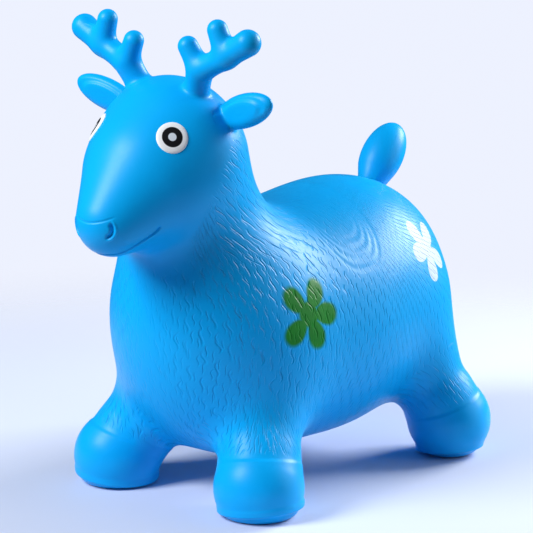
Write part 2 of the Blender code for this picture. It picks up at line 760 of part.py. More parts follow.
clear_scene()
deer = new_collection("ride_on_deer")
cutters = new_collection("cutters")
blue_pvc = material("blue_pvc", PVC_BLUE, SATIN_ROUGHNESS)
hoof_pvc = material("hoof_pvc", HOOF_BLUE, SATIN_ROUGHNESS)
eye_vinyl = material("eye_vinyl", EYE_WHITE, SATIN_ROUGHNESS)
valve_pvc = material("valve_pvc", VALVE_WHITE, VALVE_ROUGHNESS)

deer_skin = make_skin()
lost_by_trunk, lost_by_head = make_limbs(deer_skin, deer, blue_pvc, hoof_pvc)
make_core(deer_skin, deer, blue_pvc, lost_by_trunk, lost_by_head, make_valve(deer, valve_pvc))
for side_name, side_sign in SIDES.items():
    make_eye("eye_" + side_name, side_sign, deer, eye_vinyl)
bpy.data.meshes.remove(deer_skin)
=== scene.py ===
"""Bouncy ride-on deer: the fine skin, eyes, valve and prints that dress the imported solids.

The skin is where a blended distance to balls and rods is zero, so every piece of it meets its
neighbours. Metres, +Z up, the deer faces -Y and +X is its left side.
"""
import math

import bpy
import numpy as np
from mathutils import Matrix, Vector


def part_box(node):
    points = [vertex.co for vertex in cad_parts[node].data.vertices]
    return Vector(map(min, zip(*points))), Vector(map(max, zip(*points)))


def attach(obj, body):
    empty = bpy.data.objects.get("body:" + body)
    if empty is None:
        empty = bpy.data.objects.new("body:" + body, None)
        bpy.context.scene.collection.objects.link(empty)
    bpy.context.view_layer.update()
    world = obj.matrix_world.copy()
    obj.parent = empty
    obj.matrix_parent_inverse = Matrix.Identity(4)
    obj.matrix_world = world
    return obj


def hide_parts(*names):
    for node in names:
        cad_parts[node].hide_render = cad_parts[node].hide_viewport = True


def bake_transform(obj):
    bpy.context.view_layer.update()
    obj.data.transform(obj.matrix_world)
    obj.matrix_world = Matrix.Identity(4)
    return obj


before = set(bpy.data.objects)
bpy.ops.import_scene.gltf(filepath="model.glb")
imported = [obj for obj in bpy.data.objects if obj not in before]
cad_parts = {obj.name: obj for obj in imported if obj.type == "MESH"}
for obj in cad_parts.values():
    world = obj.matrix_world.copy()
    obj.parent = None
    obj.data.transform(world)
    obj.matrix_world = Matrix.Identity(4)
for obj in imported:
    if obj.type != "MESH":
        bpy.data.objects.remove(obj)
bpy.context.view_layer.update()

# ---- sizes of the blended forms; the upper limbs meet the skin more sharply than in the solids
LEG_REACH = 0.053
ANKLE_REACH = 0.015
SOLE_REACH = 0.007
TAIL_REACH = 0.0080
ANTLER_REACH = 0.0085
FORK_REACH = 0.011
EAR_REACH = 0.0065


def unit(vector):
    vector = np.asarray(vector, dtype=float)
    return vector / np.maximum(np.linalg.norm(vector, axis=-1, keepdims=True), 1e-12)


def smooth(low, high, value):
    """0 below low, 1 above high, and 3t^2 - 2t^3 between."""
    share = np.clip((value - low) / (high - low), 0.0, 1.0)
    return share * share * (3.0 - 2.0 * share)


def tilted(angle_deg):
    """A turn about X."""
    angle = math.radians(angle_deg)
    cosine, sine = math.cos(angle), math.sin(angle)
    return np.array([[1, 0, 0], [0, cosine, -sine], [0, sine, cosine]])


class Ball:
    """An ellipsoid: close distance k (k - 1) / |gradient of k|, k the scaled radius.

    The columns of its turn are the directions of its radii.
    """

    def __init__(self, centre, radii, turn=np.eye(3)):
        self.centre, self.radii, self.turn = np.array(centre), np.array(radii), np.array(turn)

    def __call__(self, points):
        local = (points - self.centre) @ self.turn
        scaled = np.linalg.norm(local / self.radii, axis=-1)
        slope = np.linalg.norm(local / self.radii ** 2, axis=-1)
        return scaled * (scaled - 1.0) / np.maximum(slope, 1e-6)


class Rod:
    """A round cone between two balls: exact distance in the plane through its axis."""

    def __init__(self, start, end, start_radius, end_radius):
        self.start, self.end = np.array(start), np.array(end)
        self.start_radius, self.end_radius = start_radius, end_radius

    def mirrored(self):
        flip = np.array([-1.0, 1.0, 1.0])
        return Rod(self.start * flip, self.end * flip, self.start_radius, self.end_radius)

    def __call__(self, points):
        axis = self.end - self.start
        length = np.linalg.norm(axis)
        along = (points - self.start) @ (axis / length)
        away = np.sqrt(np.maximum(((points - self.start) ** 2).sum(-1) - along ** 2, 0.0))
        slope = (self.start_radius - self.end_radius) / length
        rise = math.sqrt(1.0 - slope * slope)
        foot = along * rise - away * slope
        to_start = np.hypot(along, away) - self.start_radius
        to_end = np.hypot(along - length, away) - self.end_radius
        to_side = along * slope + away * rise - self.start_radius
        return np.where(foot < 0.0, to_start, np.where(foot > length * rise, to_end, to_side))


def blend(first, second, reach):
    """The nearer of two distances, rounded where they differ by less than the reach."""
    overlap = np.maximum(reach - np.abs(first - second), 0.0) / reach
    return np.minimum(first, second) - overlap ** 3 * reach / 6.0


# ---- the forms
barrel = Ball((0, 0.0694, 0.1633), (0.1307, 0.1722, 0.1318))
rump = Ball((0, 0.1396, 0.1916), (0.1079, 0.1209, 0.1094))
chest = Ball((0, -0.0607, 0.1682), (0.1136, 0.1143, 0.1293), tilted(10.6))
neck = Rod((0, -0.0893, 0.2238), (0, -0.1229, 0.3521), 0.0805, 0.0655)
skull = Ball((0, -0.1395, 0.3683), (0.0787, 0.0592, 0.0745))
muzzle = Rod((0, -0.1691, 0.3449), (0, -0.2264, 0.3098), 0.0682, 0.0365)

leg_rods = {
    "fore_left": (Rod((0.0466, -0.0578, 0.1326), (0.0884, -0.1048, 0.0492), 0.0496, 0.0359),
                  Rod((0.0884, -0.1048, 0.0492), (0.0962, -0.1176, 0.0284), 0.0414, 0.0465)),
    "hind_left": (Rod((0.0608, 0.1577, 0.1633), (0.1120, 0.1823, 0.0563), 0.0565, 0.0314),
                  Rod((0.1120, 0.1823, 0.0563), (0.1179, 0.1868, 0.0388), 0.0422, 0.0459)),
}
for end in ("fore", "hind"):
    leg_rods[end + "_right"] = tuple(rod.mirrored() for rod in leg_rods[end + "_left"])
# the plane in which each hoof's line lies: a point and the normal
hoof_lines = {"fore_left": ((0.0884, -0.1048, 0.0503), (-0.2165, 0.2723, 0.9376)),
              "hind_left": ((0.1120, 0.1823, 0.0582), (-0.2165, -0.2723, 0.9376))}

stem = Rod((0.0383, -0.1435, 0.4334), (0.0479, -0.1491, 0.4533), 0.0135, 0.0125)
beam = Rod((0.0479, -0.1491, 0.4533), (0.0809, -0.1490, 0.4692), 0.0125, 0.0112)
brow_tine = Rod((0.0479, -0.1491, 0.4533), (0.0357, -0.1528, 0.4765), 0.0114, 0.0103)
outer_tine = Rod((0.0809, -0.1490, 0.4692), (0.1069, -0.1475, 0.4845), 0.0112, 0.0134)
top_tine = Rod((0.0809, -0.1490, 0.4692), (0.0721, -0.1512, 0.4951), 0.0114, 0.0103)
ear_root, ear_axis = np.array([0.0659, -0.1288, 0.4071]), np.array([0.9442, -0.1201, 0.3068])
ear = Ball((0.0902, -0.1319, 0.4150), (0.0398, 0.0105, 0.0170),
           [[0.944, 0.079, -0.320], [-0.120, 0.987, -0.111], [0.307, 0.143, 0.941]])
tail_root, tail_axis = np.array([0.0, 0.1966, 0.2887]), np.array([0.0, 0.6561, 0.7547])
tail = Ball((0, 0.2190, 0.3145), (0.0235, 0.0235, 0.0414), tilted(-41.0))


def bare(points):
    """Trunk, neck and head without limbs."""
    trunk = blend(blend(barrel(points), rump(points), 0.0491), chest(points), 0.0798)
    head = blend(skull(points), muzzle(points), 0.0450)
    return blend(blend(trunk, neck(points), 0.0621), head, 0.0403)


def leg(name, points):
    shank, hoof = leg_rods[name]
    return blend(shank(points), hoof(points), ANKLE_REACH)


def antler(points):
    rods = np.minimum(np.minimum(stem(points), beam(points)), outer_tine(points))
    for tine in (brow_tine, top_tine):
        rods = blend(rods, tine(points), FORK_REACH)
    return rods


def lower_skin(points):
    """The skin with its legs and tail."""
    total = bare(points)
    for name in ("fore_left", "fore_right", "hind_left", "hind_right"):
        total = blend(total, leg(name, points), LEG_REACH)
    return blend(total, tail(points), TAIL_REACH)


def upper_skin(points):
    """The skin with its antlers and ears, which are the same on both sides."""
    folded = points * 1.0
    folded[..., 0] = np.abs(folded[..., 0])
    return blend(blend(bare(points), antler(folded), ANTLER_REACH), ear(folded), EAR_REACH)


SOLE_EDGE_HALF_HEIGHT = 0.0032
SOLE_EDGE_ROUND = 0.0014
SOLE_EDGE_REACH = 0.0050
SOLE_EDGE_SLOPE = np.array([0.107, -0.013])
# each end's disc: its middle and its radius
sole_edges = {"fore": ((0.0982, -0.1171, 0.0098), 0.0446), "hind": ((0.1188, 0.1872, 0.0092), 0.0372)}


def sole_edge(name, points):
    """A slightly sloping disc with a rounded edge, which gives each sole its rim: exact distance."""
    centre, radius = sole_edges[name[:4]]
    side, ahead = np.abs(points[..., 0]) - centre[0], points[..., 1] - centre[1]
    height = points[..., 2] - centre[2] - SOLE_EDGE_SLOPE[0] * side - SOLE_EDGE_SLOPE[1] * ahead
    out = np.hypot(side, ahead) - radius + SOLE_EDGE_ROUND
    up = np.abs(height) - SOLE_EDGE_HALF_HEIGHT + SOLE_EDGE_ROUND
    return (np.minimum(np.maximum(out, up), 0.0) + np.hypot(np.maximum(out, 0.0), np.maximum(up, 0.0))
            - SOLE_EDGE_ROUND)


def foot_skin(name):
    """The lower skin, cut flat by the floor with a rounded edge, and with the sole's rim."""
    def distance(points):
        floored = -blend(-lower_skin(points), points[..., 2], SOLE_REACH)
        return blend(floored, sole_edge(name, points), SOLE_EDGE_REACH)
    return distance


# ---- where one piece of skin dives under its neighbour
DIVE = 0.0004
DIVE_LENGTH = 0.003
CUT_BACK = 0.004


class Joint:
    """A sphere across a limb's base: the limb's skin goes under outside it, the body's inside it.

    The line between them lies on the sphere's inner side, seen along the limb's axis.
    """

    def __init__(self, centre, radius, axis):
        self.centre, self.radius = np.array(centre, dtype=float), radius
        self.axis = np.asarray(axis, dtype=float)

    def mirrored(self):
        flip = np.array([-1.0, 1.0, 1.0])
        return Joint(self.centre * flip, self.radius, self.axis * flip)

    def beyond(self, points):
        return np.linalg.norm(points - self.centre, axis=-1) - self.radius

    def sink(self, beyond):
        """Grows with the square of the way past the line, and is DIVE at DIVE_LENGTH."""
        return DIVE * np.clip(beyond / DIVE_LENGTH, 0.0, 1.5) ** 2

    def limb_sink(self, points):
        return self.sink(self.beyond(points)) * ((points - self.centre) @ self.axis < 0)


def with_joints(skin, joints):
    """The body's skin: sunk inside each joint's sphere, and cut away a little further in."""
    def distance(points):
        total = skin(points)
        for joint in joints:
            beyond = joint.beyond(points)
            total = np.maximum(total + joint.sink(-beyond), -beyond - CUT_BACK)
        return total
    return distance


def find_out(distance, origins, directions, start, limit=0.4):
    """How far each ray runs from inside the skin until it comes out: marching, then secant steps."""
    reach = np.full(directions.shape[:-1], start)
    value = distance(origins + directions * reach[..., None])
    for _ in range(26):
        reach = np.minimum(reach + np.where(value < 0, np.maximum(-value, 0.00002), -value), limit)
        value = distance(origins + directions * reach[..., None])
    before = reach - 0.0002
    value_before = distance(origins + directions * before[..., None])
    for _ in range(5):
        slope = (value - value_before) / np.where(np.abs(reach - before) < 1e-12, 1e-12, reach - before)
        step = np.clip(-value / np.where(np.abs(slope) < 0.05, 0.05, slope), -0.001, 0.001)
        before, value_before = reach, value
        reach = reach + step
        value = distance(origins + directions * reach[..., None])
    return reach


def gradient(distance, points, step=0.0006):
    """Unit gradient by central differences."""
    slopes = np.empty_like(points)
    for axis in range(3):
        offset = np.zeros(3)
        offset[axis] = step
        slopes[..., axis] = distance(points + offset) - distance(points - offset)
    return unit(slopes)


# ---- carved marks: how deep the skin is pressed in at each point
NOSE_CREASE_DEPTH = 0.0006
NOSE_CREASE_HALF_WIDTH = 0.0019
NOSE_CREASE_HEIGHT = 0.3127
NOSE_CREASE_CURVE = 9.4
NOSTRIL_DEPTH = 0.0030
NOSTRIL_RADIUS = 0.0100
NOSTRIL_RIM = 0.0007
MOUTH_DEPTH = 0.0026
MOUTH_HALF_WIDTH = 0.0024
LIP_HEIGHT = 0.0007
LIP_HALF_WIDTH = 0.0026
LIP_OFFSET = np.array([0.0, 0.0004, 0.0031])
RING_DEPTH = 0.0006
LINE_DEPTH = 0.0009
mouth_path = np.array([(0.0, -0.2452, 0.2778), (0.0103, -0.2423, 0.2785), (0.0222, -0.2336, 0.2816),
                       (0.0327, -0.2232, 0.2903), (0.0423, -0.2118, 0.2997), (0.0475, -0.2080, 0.3065)])
SADDLE_MIDDLE_Y = 0.043
SADDLE_HALF_LENGTH = 0.043
SADDLE_HALF_SPAN = 0.134
SADDLE_SQUARENESS = 3.0
SADDLE_OVER_RADIUS = 0.13
SADDLE_PIVOT_Z = 0.165
SADDLE_RINGS = ((1.0, 1.0), (0.91, 0.9), (0.82, 0.7), (0.73, 0.5))
RING_HALF_WIDTH = 0.036
nostril_place = np.array([0.0224, -0.2550, 0.3059])


def groove(away, half_width):
    """1 on the line, falling to 0 at the half width as (1 - t^2)^2."""
    return np.maximum(1.0 - (away / half_width) ** 2, 0.0) ** 2


def to_path(points, path):
    """Distance to a polyline, and how far along it, 0 to 1."""
    best = np.full(points.shape[:-1], 1.0)
    share = np.zeros_like(best)
    for index, (start, end) in enumerate(zip(path[:-1], path[1:])):
        span = end - start
        along = np.clip(((points - start) @ span) / (span @ span), 0.0, 1.0)
        away = np.linalg.norm(points - start - along[..., None] * span, axis=-1)
        nearer = away < best
        best = np.where(nearer, away, best)
        share = np.where(nearer, (index + along) / (len(path) - 1), share)
    return best, share


def saddle_ring(points):
    """1 on the saddle's outer edge, a rounded oval laid over the back, and less inside."""
    side = np.abs(points[..., 0])
    turn = np.arctan2(side, np.maximum(points[..., 2] - SADDLE_PIVOT_Z, 0.001))
    over = SADDLE_OVER_RADIUS * turn / SADDLE_HALF_SPAN
    long = np.abs(points[..., 1] - SADDLE_MIDDLE_Y) / SADDLE_HALF_LENGTH
    return (long ** SADDLE_SQUARENESS + over ** SADDLE_SQUARENESS) ** (1 / SADDLE_SQUARENESS)


valve_low, valve_high = (np.array(corner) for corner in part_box("valve_seat"))
VALVE_DISH = 0.0012
VALVE_DISH_EDGE = (0.0150, 0.0125)
VALVE_POCKET = 0.0210
VALVE_POCKET_EDGE = (0.0115, 0.0085)


def valve_carving(points):
    """The valve seat's flange lies in a shallow dish, and its boss in a pocket that the flange hides."""
    away = np.hypot(*np.moveaxis(points[..., :2] - (valve_low + valve_high)[:2] / 2, -1, 0))
    depth = VALVE_DISH * smooth(*VALVE_DISH_EDGE, away) + VALVE_POCKET * smooth(*VALVE_POCKET_EDGE, away)
    return depth * (points[..., 2] < 0.10)


def trunk_carving(points):
    """Rounded grooves on ovals inside the saddle's edge, fainter inwards and over the top."""
    ring = saddle_ring(points)
    depth = np.zeros(points.shape[:-1])
    for at, share in SADDLE_RINGS:
        depth = depth + share * groove(ring - at, RING_HALF_WIDTH)
    low = 0.30 + 0.70 * smooth(0.297, 0.262, points[..., 2])
    behind = 0.25 + 0.75 * smooth(-0.010, 0.045, points[..., 1])
    return RING_DEPTH * depth * low * behind * (points[..., 2] > 0.17) + valve_carving(points)


def head_carving(points):
    """The crease over the nose, the nostrils with a rim outside, and the mouth with its lip."""
    folded = points * 1.0
    folded[..., 0] = np.abs(folded[..., 0])
    side, ahead, height = folded[..., 0], folded[..., 1], folded[..., 2]
    front = ahead < -0.19
    above_crease = height - NOSE_CREASE_HEIGHT - NOSE_CREASE_CURVE * side ** 2
    crease = groove(above_crease, NOSE_CREASE_HALF_WIDTH) * smooth(0.028, 0.020, side)
    depth = NOSE_CREASE_DEPTH * crease * front
    from_place = folded - nostril_place
    across = from_place @ unit(np.array([0.75, 0.60, 0.0])) + 0.0058
    up = from_place[..., 2] - 0.0006
    inside = NOSTRIL_RADIUS - np.hypot(across, up)
    turn = np.degrees(np.arctan2(up, across))
    ends = smooth(-88, -58, turn) * smooth(56, 30, turn) * front
    hollow = smooth(-0.0007, 0.0008, inside) * smooth(0.0058, 0.0006, inside)
    depth = depth + (NOSTRIL_DEPTH * hollow - NOSTRIL_RIM * groove(inside + 0.0018, 0.0018)) * ends
    away, share = to_path(folded, mouth_path)
    over_lip, _ = to_path(folded, mouth_path + LIP_OFFSET)
    mouth = MOUTH_DEPTH * groove(away, MOUTH_HALF_WIDTH) - LIP_HEIGHT * groove(over_lip, LIP_HALF_WIDTH)
    return depth + mouth * smooth(1.0, 0.93, share) * front


EAR_FOLD_DEPTH = 0.0009
EAR_FOLD_RING = 0.74
EAR_FOLD_HALF_WIDTH = 0.15
EAR_HOLLOW = 0.0016


def ear_carving(points):
    """A fold inside the front edge of the ear's upper and outer rim, round a shallow hollow."""
    long, thick, wide = np.moveaxis((points - ear.centre) @ ear.turn / ear.radii, -1, 0)
    ring = np.hypot(long, wide)
    front = smooth(-0.05, -0.35, thick) * smooth(-0.85, -0.30, long)
    upper = smooth(-0.35, 0.20, wide + 0.45 * long)
    fold = EAR_FOLD_DEPTH * groove(ring - EAR_FOLD_RING, EAR_FOLD_HALF_WIDTH) * upper
    return (fold + EAR_HOLLOW * smooth(EAR_FOLD_RING, 0.10, ring)) * front


def leg_carving(name, points):
    """The leg is pressed in above the hoof line, which leaves a soft step there."""
    centre, normal = hoof_lines[name.replace("right", "left")]
    folded = points * 1.0
    folded[..., 0] = np.abs(folded[..., 0])
    above = (folded - np.array(centre)) @ np.array(normal)
    return LINE_DEPTH * smooth(-0.0028, 0.0018, above) * smooth(0.0150, 0.0020, above)


def no_carving(points):
    return np.zeros(points.shape[:-1])


# ---- meshes
def grid_mesh(name, points, first=None, last=None):
    """A tube mesh from rings of points (ring, around, 3), closed at each end by a middle point."""
    rings, around = points.shape[:2]
    corner = np.arange(rings * around).reshape(rings, around)
    turned = np.roll(corner, -1, axis=1)
    quads = np.stack([corner[:-1], turned[:-1], turned[1:], corner[1:]], -1).reshape(-1, 4)
    vertices = [points.reshape(-1, 3)]
    loops, sizes = [quads.ravel()], [np.full(len(quads), 4)]
    count = rings * around
    for middle, row, flip in ((first, 0, True), (last, rings - 1, False)):
        ring, following = corner[row], turned[row]
        middle = points[row].mean(0) if middle is None else np.asarray(middle)
        vertices.append(middle[None])
        fan = np.stack([ring, following, np.full(around, count)], -1)
        loops.append((fan[:, ::-1] if flip else fan).ravel())
        sizes.append(np.full(around, 3))
        count += 1
    vertices, loops, sizes = np.concatenate(vertices), np.concatenate(loops), np.concatenate(sizes)
    mesh = bpy.data.meshes.new(name)
    mesh.vertices.add(len(vertices))
    mesh.vertices.foreach_set("co", vertices.ravel())
    mesh.loops.add(len(loops))
    mesh.loops.foreach_set("vertex_index", loops.astype(np.int32))
    mesh.polygons.add(len(sizes))
    mesh.polygons.foreach_set("loop_start", (np.cumsum(sizes) - sizes).astype(np.int32))
    mesh.update(calc_edges=True)
    mesh.validate()
    return mesh


def face_outwards(mesh):
    """Turns the faces round if the signed volume is negative."""
    count = len(mesh.vertices)
    points = np.empty(count * 3)
    mesh.vertices.foreach_get("co", points)
    points = points.reshape(-1, 3)
    mesh.calc_loop_triangles()
    corners = np.empty(len(mesh.loop_triangles) * 3, dtype=np.int32)
    mesh.loop_triangles.foreach_get("vertices", corners)
    one, two, three = (points[corners.reshape(-1, 3)[:, i]] for i in range(3))
    if np.einsum("ij,ij->i", one, np.cross(two, three)).sum() < 0:
        mesh.flip_normals()


def make(name, mesh, finish, angle=50):
    """An object at the origin for a finished mesh."""
    face_outwards(mesh)
    mesh.shade_smooth()
    mesh.set_sharp_from_angle(angle=math.radians(angle))
    mesh.materials.append(finish)
    thing = bpy.data.objects.new(name, mesh)
    bpy.context.scene.collection.objects.link(thing)
    return thing


def attribute(mesh, name, values):
    """A per-vertex vector that the materials read."""
    made = mesh.attributes.new(name, "FLOAT_VECTOR", "POINT")
    made.data.foreach_set("vector", np.asarray(values, dtype=np.float32).ravel())


def mesh_points(mesh):
    points = np.empty(len(mesh.vertices) * 3)
    mesh.vertices.foreach_get("co", points)
    return points.reshape(-1, 3)


# ---- trunk, neck and head: rings on planes that fan about a pivot behind the neck, then one
# ---- under the chin
WITHERS = np.array([0.030, 0.345])
THROAT = np.array([-0.205, 0.245])
MUZZLE_AHEAD = np.array([-0.8529, -0.5220])
TRUNK_AROUND = 300
TRUNK_CROWDING = 0.30
RUMP_RINGS = 150
TRUNK_RINGS = 180
HEAD_AROUND = 260
HEAD_RINGS = 230
MUZZLE_RINGS = 90
MUZZLE_START_DEG = 121.46


def in_middle(flat):
    """Points (y, z) in the plane of symmetry as (0, y, z)."""
    flat = np.asarray(flat, dtype=float)
    return np.concatenate([np.zeros(flat.shape[:-1] + (1,)), flat], -1)


def extreme(distance, start, direction, across, spread):
    """The point in the plane of symmetry that lies furthest in a direction."""
    for _ in range(4):
        origins = in_middle(start) + in_middle(across) * np.linspace(-spread, spread, 41)[:, None]
        directions = np.broadcast_to(in_middle(direction), origins.shape)
        reach = find_out(distance, origins, directions, 0.0)
        best = int(np.argmax(reach))
        start, spread = origins[best][1:], spread / 8
    return origins[best] + directions[best] * reach[best]


def ring_stations(pivots, outward, distance):
    """Each ring's middle, halfway between where its plane's line enters and leaves the body."""
    reach = np.linspace(0.0, 0.36, 721)
    line = in_middle(pivots)[:, None] + in_middle(outward)[:, None] * reach[None, :, None]
    inside = distance(line) < 0
    enter = inside.argmax(1)
    rows, last = np.arange(len(inside)), len(reach) - 1
    onward = np.minimum(enter[:, None] + np.arange(len(reach)), last)
    run = (~inside[rows[:, None], onward]).argmax(1)
    leave = np.minimum(enter + np.where(inside[rows, enter], run, 0), last)
    return in_middle(pivots) + in_middle(outward) * ((reach[enter] + reach[leave]) / 2)[:, None]


def rings_around(centres, outward, distance, around, crowding=0.0):
    """A ring of surface points in the plane of each centre's outward direction and X.

    Crowding draws them together on the pivot's side, as angle = t - crowding sin t.
    """
    angle = np.linspace(0, 2 * math.pi, around, endpoint=False)
    angle = angle - crowding * np.sin(angle)
    ahead = -in_middle(outward)[:, None] * np.cos(angle)[None, :, None]
    aside = np.array([1.0, 0, 0])[None, None] * np.sin(angle)[None, :, None]
    directions = ahead + aside
    reach = find_out(distance, centres[:, None], directions, 0.0005)
    return centres[:, None] + directions * reach[..., None]


def carve(points, distance, carving):
    """Presses the carved marks into the skin along its gradient."""
    return points - gradient(distance, points) * carving(points)[..., None]


def fan(pivot, start_deg, end_deg, count):
    angle = np.radians(np.linspace(start_deg, end_deg, count))
    return np.broadcast_to(pivot, (count, 2)), np.stack([np.cos(angle), np.sin(angle)], -1)


LEG_JOINT_RADIUS = 0.072
leg_joints = {name: Joint(shank.end, LEG_JOINT_RADIUS, unit(shank.end - shank.start))
              for name, (shank, _) in leg_rods.items()}
tail_joint = Joint(tail_root + tail_axis * 0.014, 0.028, tail_axis)
antler_axis = unit(stem.end - stem.start)
antler_joint = Joint(stem.start + antler_axis * 0.012, 0.022, antler_axis)
ear_joint = Joint(ear_root + ear_axis * 0.012, 0.025, ear_axis)
head_joints = [antler_joint, antler_joint.mirrored(), ear_joint, ear_joint.mirrored()]

trunk_distance = with_joints(lower_skin, list(leg_joints.values()) + [tail_joint])
head_distance = with_joints(upper_skin, head_joints)


def trunk_grid():
    rump_tip = extreme(bare, (0.14, 0.19), (1, 0), (0, 1), 0.06)
    spread = np.sin(np.linspace(math.pi / 2, 0, RUMP_RINGS)[1:])
    flat = np.stack([WITHERS[0] + (rump_tip[1] - WITHERS[0]) * spread, np.full(len(spread), WITHERS[1])], -1)
    down = np.broadcast_to((0.0, -1.0), flat.shape)
    turn = math.degrees(math.atan2(THROAT[1] - WITHERS[1], THROAT[0] - WITHERS[0]))
    pivots, outward = fan(WITHERS, -90, turn, TRUNK_RINGS)
    pivots = np.concatenate([flat, pivots[1:]])
    outward = np.concatenate([down, outward[1:]])
    centres = ring_stations(pivots, outward, bare)
    points = rings_around(centres, outward, trunk_distance, TRUNK_AROUND, TRUNK_CROWDING)
    return carve(points, trunk_distance, trunk_carving), rump_tip


def head_grid():
    first = math.degrees(math.atan2(WITHERS[1] - THROAT[1], WITHERS[0] - THROAT[0]))
    pivots, outward = fan(THROAT, first, MUZZLE_START_DEG, HEAD_RINGS)
    tip = extreme(bare, (-0.2264, 0.3098), MUZZLE_AHEAD, (-0.5220, 0.8529), 0.02)
    length = (tip[1:] - THROAT) @ MUZZLE_AHEAD
    steps = np.sin(np.linspace(0, math.pi / 2, MUZZLE_RINGS)[1:-1]) * length
    pivots = np.concatenate([pivots, THROAT + MUZZLE_AHEAD * steps[:, None]])
    outward = np.concatenate([outward, np.broadcast_to(outward[-1], (len(steps), 2))])
    centres = ring_stations(pivots, outward, bare)
    points = rings_around(centres, outward, head_distance, HEAD_AROUND)
    return carve(points, head_distance, head_carving), tip


# ---- limbs: a dome at the tip, rings down the limb, and rings on spheres about the joint's centre
def across_axes(axis):
    """Two unit vectors square to an axis, the first near X."""
    second = unit(np.cross(axis, (0.0, 1.0, 0.0)))
    return np.cross(second, axis), second


def limb_grid(distance, path, joint, around, dome, along, base, rim, start=0.0005):
    """Surface rings of a limb whose path runs from its tip's middle to the joint's centre."""
    angle = np.linspace(0, 2 * math.pi, around, endpoint=False)
    path = np.asarray(path, dtype=float)
    spans = unit(np.diff(path, axis=0))
    grids = []

    def round_axis(axis):
        first, second = across_axes(axis)
        return np.cos(angle)[:, None] * first + np.sin(angle)[:, None] * second

    outward = -spans[0]
    tilt = np.linspace(0, math.pi / 2, dome)[1:]
    spokes = round_axis(outward)
    directions = np.cos(tilt)[:, None, None] * outward + np.sin(tilt)[:, None, None] * spokes
    reach = find_out(distance, path[0], directions, start)
    grids.append(path[0] + directions * reach[..., None])
    pole_reach = find_out(distance, path[0], outward[None], start)
    pole = path[0] + outward * pole_reach[0]

    if along > 1:
        lengths = np.concatenate([[0], np.cumsum(np.linalg.norm(np.diff(path, axis=0), axis=1))])
        places = np.linspace(0, lengths[-1], along)[1:]
        origins = np.stack([np.interp(places, lengths, path[:, i]) for i in range(3)], -1)
        knots = (lengths[:-1] + lengths[1:]) / 2
        axes = unit(np.stack([np.interp(places, knots, -spans[:, i]) for i in range(3)], -1))
        directions = np.stack([round_axis(axis) for axis in axes])
        reach = find_out(distance, origins[:, None], directions, start)
        grids.append(origins[:, None] + directions * reach[..., None])

    inward = spans[-1]
    spokes = round_axis(-inward)
    first_reach = np.minimum(find_out(distance, path[-1], spokes, start), joint.radius + rim)
    share = np.linspace(0, 1, base)[1:, None]
    radius = first_reach[None] + (joint.radius + rim - first_reach[None]) * share
    low = np.zeros_like(radius)
    high = np.full_like(radius, math.pi / 2)
    for _ in range(24):
        middle = (low + high) / 2
        spot = path[-1] + radius[..., None] * (np.cos(middle)[..., None] * inward
                                               + np.sin(middle)[..., None] * spokes)
        inside = distance(spot) < 0
        low, high = np.where(inside, middle, low), np.where(inside, high, middle)
    grids.append(spot)
    return np.concatenate(grids), pole


def sunk(points, distance, joint, carving=no_carving):
    """Sinks a limb's skin beyond its joint's line, so that it goes under the body's."""
    depth = joint.limb_sink(points) + carving(points)
    return points - gradient(distance, points) * depth[..., None]


def join_meshes(name, meshes):
    """One mesh of several closed ones."""
    things = []
    for mesh in meshes:
        face_outwards(mesh)
        thing = bpy.data.objects.new(name, mesh)
        bpy.context.scene.collection.objects.link(thing)
        things.append(thing)
    bpy.ops.object.select_all(action="DESELECT")
    for thing in things:
        thing.select_set(True)
    bpy.context.view_layer.objects.active = things[0]
    bpy.ops.object.join()
    mesh = things[0].data
    bpy.data.objects.remove(things[0])
    return mesh


def flip_side(points):
    return points * np.array([-1.0, 1.0, 1.0])


# ---- hair strokes: a flow over the skin, (across, along, strength), for the trunk and for a limb
def soft_ramp(value, width):
    """0 below, the value itself above, and rounded over the width."""
    return width * np.logaddexp(0.0, value / width)


def trunk_flow(points):
    """Across runs round the body from the chest's middle, and the strokes lean back as they go down."""
    side, ahead, height = np.abs(points[..., 0]), points[..., 1], points[..., 2]
    front, rear, radius = -0.065, 0.135, 0.11
    round_front = radius * (np.arctan2(ahead - front, side) + math.pi / 2)
    round_rear = radius * (math.pi / 2 + np.arctan2(ahead - rear, side)) + rear - front
    straight = radius * math.pi / 2 + ahead - front
    across = np.where(ahead < front, round_front, np.where(ahead > rear, round_rear, straight))
    shoulder = 0.62 * soft_ramp(height - 0.205, 0.020) * smooth(0.06, -0.09, ahead)
    hip = 2.20 * soft_ramp(height - 0.222, 0.015) * smooth(0.02, 0.13, ahead)
    hip = hip + 0.25 * height * smooth(0.06, 0.13, ahead)
    lean = (shoulder + hip - 0.10 * height) * smooth(0.02, 0.10, across)
    along = -0.135 * np.arcsin(np.clip((height - 0.165) / 0.14, -0.98, 0.98))
    return across + lean, along


def neck_flow(points):
    """Across runs round the neck from its front, and the strokes lean back on its sides."""
    side, ahead, height = np.abs(points[..., 0]), points[..., 1], points[..., 2]
    middle = -0.0893 - 0.262 * (height - 0.2238)
    across = 0.075 * np.arctan2(side, middle - ahead)
    return across + 0.80 * height * smooth(0.02, 0.08, across), -height


def leg_flow(name, points):
    """Across runs round the leg, and the strokes lean back as they go down."""
    hoof = leg_rods[name][0].end
    side = 1.0 if "left" in name else -1.0
    lean = -0.15 if "fore" in name else 0.8
    turn = np.arctan2(points[..., 1] - hoof[1], side * (points[..., 0] - hoof[0]))
    return 0.045 * turn + lean * points[..., 2], -points[..., 2]


